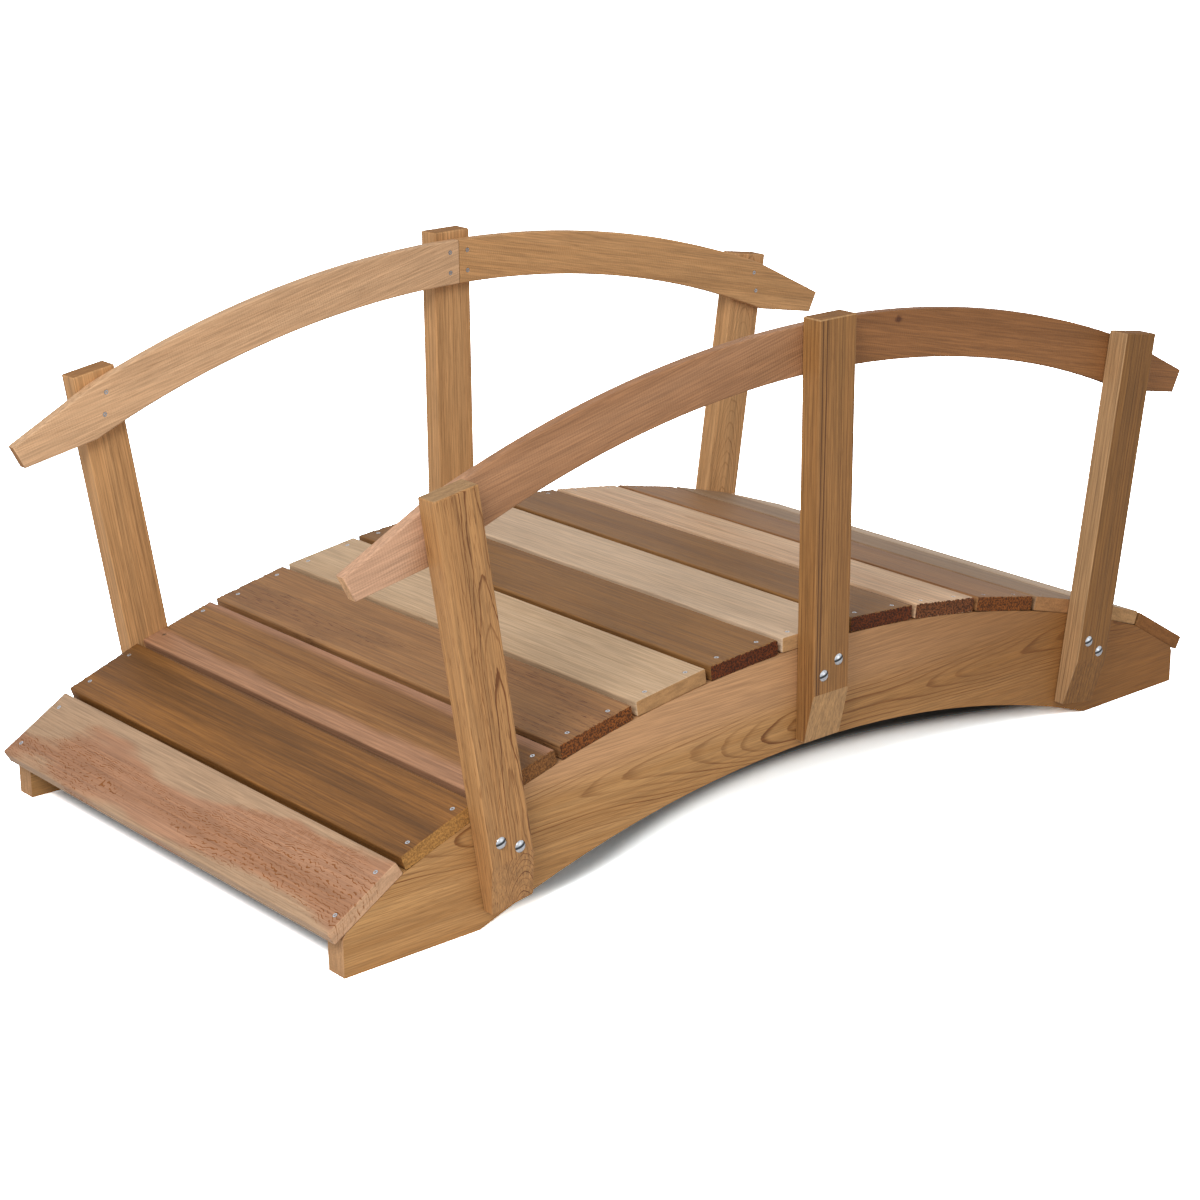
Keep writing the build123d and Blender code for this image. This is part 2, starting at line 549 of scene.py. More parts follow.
    def figured(self, g: NodeGraph, at: GrainPlace, slant: Socket) -> tuple[Socket, Socket]:
        """Ring lines, and the wood's colour with bands, strips, knots and ring lines.

        Args:
            g: Graph of the material.
            at: Place in the stick.
            slant: Share of a slanted cut, on which strips are hidden and ring lines are faint.

        Returns:
            Strength of the lines, and the colour.
        """
        clear = g.math("MULTIPLY_ADD", slant, -self.slant_fade, 1.0)
        line = g.math("MULTIPLY", self.ring_lines(g, at), clear)
        broad = g.pattern(at.noise, Pattern.BROAD_BANDS)
        band = g.math("MULTIPLY", g.ramp(broad, *Fade.BANDS.value), self.figure.bands)
        colour = g.mix(band, self.tone.early, self.tone.streak)
        kept = g.math("SUBTRACT", 1.0, slant)
        for strip in self.strips:
            share = g.math("MULTIPLY", self.strip_mask(g, strip, at), kept)
            colour = g.mix(share, colour, strip.colour)
            line = g.math("MULTIPLY", line, g.math("MULTIPLY_ADD", share, -strip.clears, 1.0))
        for knot in self.knots:
            line = g.math("MAXIMUM", line, self.knot_mask(g, knot, at))
        return line, g.mix(line, colour, self.tone.late)

    def streaks(self, g: NodeGraph, at: GrainPlace, fine: Socket) -> Socket:
        """Factor of the fine streaks, pores and fibres on the colour.

        Args:
            g: Graph of the material.
            at: Place in the stick.
            fine: Fine streaks.

        Returns:
            The factor, about 1 in the mean.
        """
        strength = self.figure.streaks
        light = g.ramp(fine, *Fade.STREAKS.value, 1.0 - 0.26 * strength, 1.0 + 0.12 * strength)
        pores = g.ramp(fine, *Fade.PORES.value, 1.0, 1.0 - 0.3 * strength)
        fibre = g.ramp(g.pattern(at.noise, Pattern.FIBRES), *Fade.FIBRES.value, 0.86, 1.1)
        return g.math("MULTIPLY", g.math("MULTIPLY", light, pores), fibre)

    def ring_lines(self, g: NodeGraph, at: GrainPlace) -> Socket:
        """Dark line at the outer edge of each growth ring.

        Args:
            g: Graph of the material.
            at: Place in the stick.

        Returns:
            Strength of the line.
        """
        figure = self.figure
        wander = g.add("ShaderNodeSeparateColor")
        g.feed(wander.inputs[0], g.pattern(at.noise, Pattern.RING_WANDER, "Color"))
        sway = 2.4 * figure.wave
        aside = g.math("SUBTRACT", at.across, figure.pith_across + sway / 2)
        aside = g.math("MULTIPLY_ADD", wander.outputs[0], sway, aside)
        below = g.math("SUBTRACT", at.through, figure.pith_depth + sway / 2)
        below = g.math("MULTIPLY_ADD", wander.outputs[1], sway, below)
        radius = g.math("SQRT", g.math("MULTIPLY_ADD", aside, aside, g.math("MULTIPLY", below, below)))
        radius = g.math("MULTIPLY_ADD", at.along, figure.taper, radius)
        rings = g.math("DIVIDE", radius, figure.ring)
        rings = g.math("MULTIPLY_ADD", g.pattern(at.noise, Pattern.RING_WOBBLE), figure.jitter, rings)
        if figure.curl:
            often = 1.0 / figure.curl_length
            curly_place = g.vector("MULTIPLY", at.noise, (often, 0.6 * often, 0.6 * often)).outputs[0]
            rings = g.math("MULTIPLY_ADD", g.noise(curly_place, detail=1.5), 2 * figure.curl, rings)
        share = g.math("FRACT", rings)
        lot = g.add("ShaderNodeTexWhiteNoise", noise_dimensions="1D")
        g.feed(lot.inputs["W"], g.math("ADD", g.math("FLOOR", rings), self.seed))
        darkest, edge = self.line_peak
        rise = g.ramp(share, 1.0 - figure.dark, darkest)
        fall = g.ramp(share, edge, 1.0, 1.0, 0.0)
        strength = g.math("MULTIPLY_ADD", lot.outputs["Value"], 1.0 - self.faintest, self.faintest)
        line = g.math("MULTIPLY", g.math("MULTIPLY", rise, fall), strength)
        patches = Fade.BROKEN_PATCHES if figure.broken else Fade.LINE_PATCHES
        least = 0.0 if figure.broken else 0.35
        fade = g.ramp(g.pattern(at.noise, Pattern.LINE_PATCHES), *patches.value, least, 1.0)
        near = g.ramp(g.math("ABSOLUTE", aside), figure.spread, 2.2 * figure.spread, 1.0, 0.12)
        line = g.math("MULTIPLY", g.math("MULTIPLY", line, g.math("MULTIPLY", fade, near)), figure.contrast)
        if figure.broken:
            holes = g.pattern(at.noise, Pattern.LINE_GAPS)
            gaps = g.ramp(holes, *Fade.LINE_GAPS.value, 1.0 - figure.broken, 1.0)
            line = g.math("MULTIPLY_ADD", fade, self.broken_haze, g.math("MULTIPLY", line, gaps))
        if figure.flecks:
            spots = g.ramp(g.pattern(at.noise, Pattern.FLECKS), *Fade.FLECKS.value, 0.0, figure.flecks)
            line = g.math("MAXIMUM", line, g.math("MULTIPLY", spots, fade))
        return line

    def strip_mask(self, g: NodeGraph, strip: Strip, at: GrainPlace) -> Socket:
        """Share of a strip of another colour.

        Args:
            g: Graph of the material.
            strip: The strip.
            at: Place in the stick.

        Returns:
            1 in the strip and 0 elsewhere.
        """
        repeats = (strip.wave, 3 * strip.wave, 3 * strip.wave)
        flow = g.noise(g.vector("MULTIPLY", at.noise, repeats).outputs[0], detail=3.0)
        wander = g.math("MULTIPLY", g.math("SUBTRACT", flow, 0.5), 2 * strip.wander)
        wander = g.math("MULTIPLY_ADD", at.along, strip.lean, wander)
        reach = g.math("MULTIPLY_ADD", at.across, float(strip.side), wander)
        inner = g.ramp(reach, strip.edge - strip.soft, strip.edge + strip.soft)
        far = strip.edge + strip.width
        outer = g.ramp(reach, far - strip.soft, far + strip.soft, 1.0, 0.0)
        return g.math("MULTIPLY", inner, outer)

    def knot_mask(self, g: NodeGraph, knot: Knot, at: GrainPlace) -> Socket:
        """Darkness of a knot and of the grain drawn out beside it.

        Args:
            g: Graph of the material.
            knot: The knot.
            at: Place in the stick.

        Returns:
            1 in the middle of the knot and 0 away from it.
        """
        reach = g.math("MULTIPLY", g.math("SUBTRACT", at.along, knot.along), self.knot_squash)
        aside = g.math("SUBTRACT", at.across, knot.across)
        distance = g.math("SQRT", g.math("MULTIPLY_ADD", reach, reach, g.math("MULTIPLY", aside, aside)))
        ragged = g.math("MULTIPLY_ADD", g.pattern(at.noise, Pattern.KNOT_EDGE), knot.radius, distance)
        return g.ramp(ragged, 0.7 * knot.radius, 1.5 * knot.radius, 1.0, 0.0)

    def end_colour(self, g: NodeGraph, at: GrainPlace, speckle: Socket, line: Socket) -> Socket:
        """Colour of the sawn ends.

        Args:
            g: Graph of the material.
            at: Place in the stick.
            speckle: Speckle of the sawn ends.
            line: Ring lines.

        Returns:
            The colour.
        """
        dark = tuple(0.28 * share for share in self.tone.end)
        depth = 0.12 + 0.88 * self.figure.ragged
        colour = g.mix(g.ramp(speckle, *Fade.SPECKLE.value, depth, 0.0), self.tone.end, dark)
        colour = g.mix(g.math("MULTIPLY", line, 0.5), colour, self.tone.late)
        clouds = g.pattern(at.noise, Pattern.END_CLOUDS)
        return g.shaded(colour, g.ramp(clouds, *Fade.END_CLOUDS.value, 0.84, 1.14))

    def bump(self, g: NodeGraph, at: GrainPlace, fine: Socket, end: Socket, speckle: Socket) -> Socket:
        """Relief of the sawn surface.

        Args:
            g: Graph of the material.
            at: Place in the stick.
            fine: Fine streaks.
            end: Mask of the end grain.
            speckle: Speckle of the sawn ends.

        Returns:
            The normal.
        """
        height = g.math("MULTIPLY", fine, 0.6)
        if self.figure.saw:
            turns = g.math("MULTIPLY", at.along, 2 * math.pi / self.saw_pitch)
            phase = g.math("MULTIPLY_ADD", g.pattern(at.noise, Pattern.SAW_SWAY), 6.0, turns)
            height = g.math("MULTIPLY_ADD", g.math("SINE", phase), 0.3 * self.figure.saw, height)
        sawn = g.math("MULTIPLY", g.math("MULTIPLY", speckle, end), 0.8 + 5.2 * self.figure.ragged)
        node = g.add("ShaderNodeBump")
        node.inputs["Strength"].default_value = self.relief
        node.inputs["Distance"].default_value = self.relief_depth
        g.feed(node.inputs["Height"], g.math("ADD", height, sawn))
        return node.outputs[0]


@dataclass(frozen=True)
class ZincFinish:
    """Bright zinc plate of the bolts and screws.

    Attributes:
        colour: Base colour.
        rough: Roughness where it is cleanest.
        domed: Whether it is for domed heads, which get a dark band of painted reflection and painted shade
            round their rim and on their underside.
        slope: Shares of the normal's X and Z in the slope that places the band of painted reflection and the
            painted shade of the underside.
        band_start: Slopes between which the dark band of painted reflection fades in.
        band_stop: Slopes between which it fades out.
        rim: Shares of the normal's Y between which the painted shade round the rim fades out.
        underside: Slopes between which the painted shade on the underside fades out.
    """

    colour: Colour = srgb(204, 208, 214)
    rough: float = 0.16
    domed: bool = False
    slope: tuple[float, float] = (-0.4, 0.9)
    band_start: tuple[float, float] = (0.0, 0.1)
    band_stop: tuple[float, float] = (0.26, 0.44)
    rim: tuple[float, float] = (0.2, 0.56)
    underside: tuple[float, float] = (-0.8, -0.5)

    def material(self, name: str) -> bpy.types.Material:
        """Build the material.

        Args:
            name: Name of the material.

        Returns:
            The material.
        """
        g = NodeGraph(bpy.data.materials.new(name))
        coordinates = g.add("ShaderNodeTexCoord")
        cloud = g.noise(coordinates.outputs["Object"], 260.0, 3.0)
        dull = tuple(0.7 * share for share in self.colour)
        colour = g.mix(g.ramp(cloud, *Fade.DULL_ZINC.value), self.colour, dull)
        # Painted reflection and shade: domed heads are darkened in a band, round their rim and on their
        # underside.
        if self.domed:
            dark = tuple(0.09 * share for share in self.colour)
            colour = g.mix(self.painted_reflection_and_shade(g, coordinates), colour, dark)
        shader = g.add("ShaderNodeBsdfPrincipled")
        g.feed(shader.inputs["Base Color"], colour)
        shader.inputs["Metallic"].default_value = 1.0
        g.feed(shader.inputs["Roughness"], g.math("MULTIPLY_ADD", cloud, 0.18, self.rough))
        return g.close(shader.outputs[0])

    def painted_reflection_and_shade(self, g: NodeGraph, coordinates: bpy.types.Node) -> Socket:
        """Painted reflection and shade of a domed head: a dark band across it, and painted shade round its
        rim and on its underside.

        Args:
            g: Graph of the material.
            coordinates: Texture coordinates.

        Returns:
            1 where the head is painted dark.
        """
        normal = g.split(coordinates.outputs["Normal"])
        upward = g.math("MULTIPLY", normal["Z"], self.slope[1])
        slope = g.math("MULTIPLY_ADD", normal["X"], self.slope[0], upward)
        band = g.math("MULTIPLY", g.ramp(slope, *self.band_start), g.ramp(slope, *self.band_stop, 1.0, 0.0))
        rim = g.ramp(g.math("ABSOLUTE", normal["Y"]), *self.rim, 0.9, 0.0)
        underside = g.ramp(slope, *self.underside, 0.7, 0.0)
        return g.math("MAXIMUM", band, g.math("MAXIMUM", rim, underside))


class Tone(Enum):
    CREAM = WoodTone(srgb(212, 184, 154), srgb(160, 122, 90), srgb(198, 168, 136), srgb(184, 141, 95))
    STRAW = WoodTone(srgb(206, 176, 142), srgb(152, 112, 78), srgb(188, 156, 120), srgb(170, 128, 84))
    BLUSH = WoodTone(srgb(226, 190, 154), srgb(156, 108, 74), srgb(206, 166, 130), srgb(124, 72, 38))
    SAND = WoodTone(srgb(216, 175, 135), srgb(146, 102, 66), srgb(194, 152, 113), srgb(166, 120, 78))
    TAN = WoodTone(srgb(162, 130, 98), srgb(120, 84, 52), srgb(144, 112, 82), srgb(170, 122, 78))
    AMBER = WoodTone(srgb(203, 155, 105), srgb(134, 88, 48), srgb(180, 132, 84), srgb(160, 114, 70))
    HONEY = WoodTone(srgb(182, 135, 86), srgb(112, 68, 32), srgb(162, 114, 66), srgb(164, 130, 92))
    ROSE = WoodTone(srgb(178, 133, 103), srgb(134, 82, 38), srgb(158, 111, 79), srgb(196, 156, 122))
    FAWN = WoodTone(srgb(172, 126, 90), srgb(112, 68, 38), srgb(154, 108, 72), srgb(196, 152, 112))
    CLAY = WoodTone(srgb(155, 109, 62), srgb(96, 58, 30), srgb(129, 87, 46), srgb(140, 92, 48))
    SIENNA = WoodTone(srgb(151, 102, 60), srgb(92, 54, 30), srgb(127, 83, 46), srgb(140, 96, 60))
    RUSSET = WoodTone(srgb(160, 116, 74), srgb(94, 56, 32), srgb(138, 96, 60), srgb(138, 78, 30))
    TAWNY = WoodTone(srgb(161, 115, 66), srgb(92, 56, 28), srgb(138, 94, 52), srgb(140, 98, 58))
    UMBER = WoodTone(srgb(144, 102, 57), srgb(88, 56, 28), srgb(123, 84, 44), srgb(104, 48, 14))
    NUTMEG = WoodTone(srgb(146, 102, 54), srgb(84, 50, 24), srgb(124, 84, 44), srgb(140, 98, 58))
    OCHRE = WoodTone(srgb(188, 142, 90), srgb(118, 74, 34), srgb(164, 118, 68), srgb(182, 140, 100))
    GOLDEN_BROWN = WoodTone(srgb(146, 98, 48), srgb(80, 48, 20), srgb(108, 71, 33), srgb(176, 126, 66))


def as_object(name: str, mesh: bmesh.types.BMesh) -> bpy.types.Object:
    """Turn a finished bmesh into an object of the scene.

    Args:
        name: Name of the object.
        mesh: Its shape, in place. It is freed.

    Returns:
        The object.
    """
    data = bpy.data.meshes.new(name)
    mesh.to_mesh(data)
    mesh.free()
    made = bpy.data.objects.new(name, data)
    bpy.context.scene.collection.objects.link(made)
    return made


def shown(name: str, mesh: bmesh.types.BMesh, material: bpy.types.Material) -> bpy.types.Object:
    """Turn a finished bmesh into a piece of the bridge.

    Args:
        name: Name of the piece.
        mesh: Its shape, in place. It is freed.
        material: Its finish.

    Returns:
        The piece.
    """
    piece = as_object(name, mesh)
    piece.data.materials.append(material)
    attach(piece, "root")
    return piece


def dress(node: str, material: bpy.types.Material) -> None:
    """Give a CAD node its finish.

    Args:
        node: Name of the node.
        material: The finish.
    """
    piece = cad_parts[node]
    piece.data.materials.clear()
    piece.data.materials.append(material)


def middle(node: str) -> Vector:
    """Middle of a CAD node's box, in metres."""
    low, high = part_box(node)
    return (low + high) / 2


@dataclass(frozen=True)
class ScrewHead:
    """Flat screw head with a cross recess, sunk a little into its seat in the wood.

    Attributes:
        radius: Radius of the head, in metres.
        sunk: Depth of its face under the wood, in metres.
        depth: Depth of the head, in metres.
        recess: Depth of the cross, in metres.
        cross_reach: Reach of the cross, as a share of the radius.
        cross_waist: Reach of its inner corners, as a share of its own.
        sides: Sides of its outline, a multiple of twelve.
        seat_margin: Width of the seat's rim round the head, in metres.
        seat_depth: Depth of the seat, in metres.
    """

    radius: float = 0.0037
    sunk: float = 0.0004
    depth: float = 0.0020
    recess: float = 0.0013
    cross_reach: float = 0.6
    cross_waist: float = 0.36
    sides: int = 12
    seat_margin: float = 0.0009
    seat_depth: float = 0.0013

    def add(self, mesh: bmesh.types.BMesh, place: Matrix) -> None:
        """Add one head to a mesh.

        Args:
            mesh: Mesh that takes the head.
            place: Where it sits, with its face up along local Z.
        """
        rim = bmesh.ops.create_circle(mesh, segments=self.sides, radius=self.radius)["verts"]
        reach = self.cross_reach * self.radius
        cross = bmesh.ops.create_circle(mesh, segments=self.sides, radius=reach)["verts"]
        for vertex in cross[::3]:
            vertex.co *= self.cross_waist
        outline = {e for v in rim for e in v.link_edges}
        slots = {e for v in cross for e in v.link_edges}
        bmesh.ops.bridge_loops(mesh, edges=[*outline, *slots])
        walls = bmesh.ops.extrude_edge_only(mesh, edges=list(slots))["geom"]
        skirt = bmesh.ops.extrude_edge_only(mesh, edges=list(outline))["geom"]
        lowered = []
        for strip, drop in ((walls, self.recess), (skirt, self.depth)):
            verts = [v for v in strip if isinstance(v, bmesh.types.BMVert)]
            bmesh.ops.translate(mesh, verts=verts, vec=(0.0, 0.0, -drop))
            bmesh.ops.contextual_create(mesh, geom=[e for e in strip if isinstance(e, bmesh.types.BMEdge)])
            lowered += verts
        everything = [*rim, *cross, *lowered]
        faces = list({f for v in everything for f in v.link_faces})
        bmesh.ops.recalc_face_normals(mesh, faces=faces)
        bmesh.ops.translate(mesh, verts=everything, vec=(0.0, 0.0, -self.sunk))
        bmesh.ops.transform(mesh, matrix=place, verts=everything)

    def seats(self, places: list[Matrix]) -> bpy.types.Object:
        """Cutter that sinks a seat under each head.

        Args:
            places: Where the heads sit.

        Returns:
            An object that isn't part of the bridge.
        """
        mesh = bmesh.new()
        for place in places:
            bmesh.ops.create_cone(
                mesh,
                cap_ends=True,
                segments=2 * self.sides,
                radius1=self.radius,
                radius2=self.radius + 2 * self.seat_margin,
                depth=2 * self.seat_depth,
                matrix=place,
            )
        return as_object("seat_cutter", mesh)


def sink_seats(piece: bpy.types.Object, places: list[Matrix]) -> None:
    """Cut the seats of the screws out of a piece.

    Args:
        piece: Board or rail.
        places: Where its screws sit.
    """
    cutter = ScrewHead().seats(places)
    cut = piece.modifiers.new("seats", "BOOLEAN")
    cut.operation = "DIFFERENCE"
    cut.solver = "EXACT"
    cut.object = cutter
    evaluated = piece.evaluated_get(bpy.context.evaluated_depsgraph_get())
    carved = bpy.data.meshes.new_from_object(evaluated)
    piece.modifiers.clear()
    piece.data = carved
    bpy.data.objects.remove(cutter)


def screw_row(name: str, places: list[Matrix], zinc: bpy.types.Material) -> None:
    """Joined piece of many screw heads.

    Args:
        name: Name of the piece.
        places: Where the heads sit.
        zinc: Their finish.
    """
    mesh = bmesh.new()
    for place in places:
        ScrewHead().add(mesh, place)
    shown(name, mesh, zinc)
    log.info("%s: %d heads", name, len(places))


@dataclass(frozen=True)
class DeckBoard:
    """One deck board with eased long edges and sawn ends whose rims are torn.

    Attributes:
        node: CAD node that it stands for.
        number: Its number from the start of the walkway.
        slope: Its tip about Y, in radians.
        tone: Its colours.
        figure: Its rings and surface.
        strips: Its strips of another colour.
        width: Size across the grain, in metres.
        length: Size along the grain, in metres.
        thickness: Its thickness, in metres.
        ease: Radius of the long edges, in metres.
        splinters: Number of points along each torn rim.
        tear: Deepest tear of the rims, in metres.
        rim: Height of the torn strip along each rim, in metres.
        sag: How far a torn rim draws in through the board, as a share of its tear.
        most_sag: The most that it draws in, as a share of the strip's height.
        end_ease: Radius of the rims of an end that isn't torn, in metres.
        ease_facets: Facets of a long edge's rounding.
        end_facets: Facets of an end rim's rounding.
        smooth_limit: Roughness up to which the ends aren't torn.
        screw_scatter: How far a screw may stand from its place, in metres.
    """

    node: str
    number: int
    slope: float
    tone: Tone
    figure: WoodFigure
    strips: tuple[Strip, ...] = ()
    width: float = 0.141
    length: float = 0.914
    thickness: float = 0.025
    ease: float = 0.003
    splinters: int = 50
    tear: float = 0.0022
    rim: float = 0.0016
    sag: float = 0.5
    most_sag: float = 0.4
    end_ease: float = 0.002
    ease_facets: int = 4
    end_facets: int = 2
    smooth_limit: float = 0.2
    screw_scatter: float = 0.003

    def place(self) -> Matrix:
        """Where the board's middle lies, and how it is tipped."""
        return Matrix.Translation(middle(self.node)) @ Matrix.Rotation(self.slope, 4, "Y")

    def blank(self) -> bmesh.types.BMesh:
        """Plain board with eased long edges.

        Returns:
            The board about the origin.
        """
        mesh = bmesh.new()
        bmesh.ops.create_cube(mesh, size=1.0)
        bmesh.ops.scale(mesh, vec=(self.width, self.length, self.thickness), verts=mesh.verts)
        long_edges = [e for e in mesh.edges if e.calc_length() > 2 * self.width]
        self.round_off(mesh, long_edges, self.ease, self.ease_facets)
        return mesh

    def round_off(self, mesh: bmesh.types.BMesh, edges: list, radius: float, segments: int) -> None:
        """Round some edges.

        Args:
            mesh: The board.
            edges: Edges to round.
            radius: Their radius, in metres.
            segments: Facets of the rounding.
        """
        bmesh.ops.bevel(
            mesh, geom=edges, offset=radius, segments=segments, profile=0.5, affect="EDGES", material=-1
        )

    def at_end(self, vertex: bmesh.types.BMVert) -> bool:
        """Whether a point lies in one of the sawn ends."""
        return abs(vertex.co.y) > self.length / 2 - FACE_REACH

    def slice(self, mesh: bmesh.types.BMesh, point: tuple, across: tuple) -> None:
        """Cut the faces along a plane, keeping both sides.

        Args:
            mesh: Mesh to cut.
            point: Point on the plane.
            across: Direction square to the plane.
        """
        geometry = [*mesh.verts, *mesh.edges, *mesh.faces]
        bmesh.ops.bisect_plane(mesh, geom=geometry, dist=TOUCH, plane_co=point, plane_no=across)

    def tear_ends(self, mesh: bmesh.types.BMesh) -> None:
        """Cut strips near both ends and draw their rims in by uneven amounts.

        Args:
            mesh: The board about the origin.
        """
        for side in (-1, 1):
            self.slice(mesh, (0.0, side * (self.length / 2 - 2 * self.tear), 0.0), (0.0, 1.0, 0.0))
            self.slice(mesh, (0.0, 0.0, side * (self.thickness / 2 - self.rim)), (0.0, 0.0, 1.0))
        flat = self.width - 2 * self.ease
        for step in range(1, self.splinters):
            self.slice(mesh, (flat * (step / self.splinters - 0.5), 0.0, 0.0), (1.0, 0.0, 0.0))
        luck = random.Random(self.number)
        for vertex in mesh.verts:
            if self.at_end(vertex) and abs(vertex.co.z) > self.thickness / 2 - 0.9 * self.rim:
                bite = self.tear * self.figure.ragged * luck.random() ** 2
                vertex.co.y -= math.copysign(bite, vertex.co.y)
                vertex.co.z -= math.copysign(min(self.sag * bite, self.most_sag * self.rim), vertex.co.z)
        limit = self.length / 2 - 2 * self.tear
        rims = [f for f in mesh.faces if len(f.verts) > 3 and abs(f.calc_center_median().y) > limit]
        bmesh.ops.triangulate(mesh, faces=rims)

    def screw_places(self, rows: float, spread: float) -> list[Matrix]:
        """Where the four screws sit in the upper face.

        Args:
            rows: Distance of the screws from the bridge's centre plane, in metres.
            spread: Distance between the two screws of one end, in metres.

        Returns:
            One place a screw.
        """
        luck = random.Random(100 + self.number)
        places = []
        for side in (-1, 1):
            for offset in (-spread / 2, spread / 2):
                x = offset + luck.uniform(-self.screw_scatter, self.screw_scatter)
                y = side * rows + luck.uniform(-self.screw_scatter, self.screw_scatter)
                turn = Matrix.Rotation(luck.uniform(0.0, math.pi), 4, "Z")
                places.append(self.place() @ Matrix.Translation((x, y, self.thickness / 2)) @ turn)
        return places

    def build(self, places: list[Matrix]) -> None:
        """Build and dress the board.

        Args:
            places: Where its screws sit.
        """
        mesh = self.blank()
        if self.figure.ragged > self.smooth_limit:
            self.tear_ends(mesh)
        else:
            rims = [e for e in mesh.edges if all(map(self.at_end, e.verts))]
            rims = [e for e in rims if e.calc_length() < 2 * self.width]
            self.round_off(mesh, rims, self.end_ease, self.end_facets)
        bmesh.ops.transform(mesh, matrix=self.place(), verts=mesh.verts)
        centre = tuple(middle(self.node))
        finish = CedarFinish(
            self.tone.value, self.figure, Grain.BOARD, centre, self.slope, self.number, self.strips
        )
        name = f"board_{self.number:02d}"
        piece = shown(name, mesh, finish.material(f"cedar_{name}"))
        sink_seats(piece, places)
        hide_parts(self.node)


@dataclass
class Deck:
    """Thirteen boards across the stringers, with two screws in each end.

    Attributes:
        crown_radius: Radius of the arched top that carries the middle boards, in metres.
        end_slope: Slope of the first and last board, in degrees.
        screw_rows: Distance of the screws from the bridge's centre plane, in metres.
        screw_spread: Distance between the two screws of one end, in metres.
        board_thickness: Thickness of a board, in metres.
    """

    crown_radius: float = 2.19078
    end_slope: float = 31.0
    screw_rows: float = 0.439
    screw_spread: float = 0.082
    board_thickness: float = 0.025

    def looks(self) -> list[tuple[Tone, WoodFigure, tuple[Strip, ...]]]:
        """Tone, figure and strips of each board, from the start of the walkway.

        Returns:
            One entry a board.
        """
        curly = WoodFigure(
            ring=0.0032, pith_across=0.3, pith_depth=-0.1, wave=0.05, contrast=1.9, dark=0.45, curl=1.6,
            curl_length=0.015, streaks=0.6, broken=1.0, ragged=0.0,
        )
        sapwood = srgb(180, 148, 118)
        flames = (
            Strip(sapwood, 0.038, 1, 0.08, soft=0.012, wave=3.5, lean=0.08),
            Strip(sapwood, 0.066, -1, 0.06, soft=0.012, wave=3.5, lean=-0.01),
        )
        blush = (Strip(srgb(174, 128, 96), 0.034, -1, 0.03), Strip(srgb(170, 124, 94), 0.056, 1, 0.012))
        side_cut = WoodFigure(ring=0.0045, pith_across=0.25, pith_depth=-0.03, contrast=0.4)
        dashed = replace(side_cut, ring=0.0026, flecks=1.0, broken=0.6, ragged=1.0)
        wide_rings = WoodFigure(ring=0.006, contrast=0.3)
        brown = replace(side_cut, ring=0.003, pith_across=-0.2, bands=0.7, flecks=0.35, ragged=1.0)
        return [
            (Tone.ROSE, curly, flames),
            (Tone.GOLDEN_BROWN, replace(side_cut, ring=0.007, bands=1.0, flecks=0.3, ragged=0.4), ()),
            (Tone.CLAY, replace(side_cut, ring=0.007, bands=1.0, flecks=0.2, ragged=0.6), blush),
            (Tone.RUSSET, replace(dashed, pith_across=0.1), ()),
            (Tone.STRAW, replace(side_cut, bands=0.5, contrast=0.25, streaks=0.5, ragged=0.0), ()),
            (Tone.UMBER, brown, ()),
            (Tone.CREAM, replace(side_cut, bands=0.4, contrast=0.2, streaks=0.5, ragged=0.0), ()),
            (Tone.UMBER, replace(brown, pith_across=0.2), ()),
            (Tone.BLUSH, replace(wide_rings, pith_across=0.02, pith_depth=-0.08, bands=0.7, ragged=1.0), ()),
            (Tone.RUSSET, brown, ()),
            (Tone.TAN, replace(wide_rings, pith_across=0.04, pith_depth=-0.1, bands=0.8, ragged=0.1), ()),
            (Tone.CREAM, replace(side_cut, ragged=0.1), ()),
            (Tone.CLAY, replace(brown, ragged=0.1), ()),
        ]

    def boards(self) -> list[DeckBoard]:
        """The boards, each lying on the arch or on an end seat.

        Returns:
            The boards, from the start of the walkway.
        """
        nodes = sorted(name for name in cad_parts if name.startswith("deck_board"))
        made = []
        for number, (node, look) in enumerate(zip(nodes, self.looks()), start=1):
            reach = middle(node).x
            if number in (1, len(nodes)):
                slope = math.copysign(math.radians(self.end_slope), reach)
            else:
                slope = math.asin(reach / (self.crown_radius + self.board_thickness / 2))
            made.append(DeckBoard(node, number, slope, *look))
        return made

    def build(self, zinc: bpy.types.Material) -> None:
        """Build the boards and their screws.

        Args:
            zinc: Finish of the screws.
        """
        heads = []
        for board in self.boards():
            places = board.screw_places(self.screw_rows, self.screw_spread)
            board.build(places)
            heads += places
        log.info("deck boards: %d", len(heads) // 4)
        for side_name, side in (("left", 1), ("right", -1)):
            row = [place for place in heads if side * place.translation.y > 0]
            screw_row(f"deck_screws_{side_name}", row, zinc)


@dataclass
class Stringers:
    """The two arched beams, each with its own figure.

    Attributes:
        nodes: Their CAD nodes.
        first_seed: Place of the first one in the noise.
    """

    nodes: tuple[str, str] = ("stringer_right", "stringer_left")
    first_seed: float = 31.0

    def build(self) -> None:
        """Dress both beams."""
        figure = WoodFigure(
            ring=0.0032, pith_across=0.01, pith_depth=0.045, taper=-0.03, wave=0.014, contrast=1.3, dark=0.42,
            bands=0.8, streaks=0.5, spread=0.034, flecks=0.3, ragged=0.0, jitter=0.35,
        )
        strips = (
            Strip(srgb(192, 146, 104), 0.05, 1, 0.05, soft=0.04, wave=1.5),
            # Painted shade: a broad darker strip that deepens towards the +X end of each beam, standing in
            # for light falling off there.
            Strip(srgb(142, 94, 46), 0.35, 1, 0.04, width=9.0, soft=0.6, lean=1.0, clears=0.0),
        )
        for number, node in enumerate(self.nodes):
            seed = self.first_seed + number
            finish = CedarFinish(Tone.OCHRE.value, figure, Grain.BEAM, tuple(middle(node)), 0.0, seed, strips)
            dress(node, finish.material(f"cedar_{node}"))
        log.info("stringers: %d", len(self.nodes))


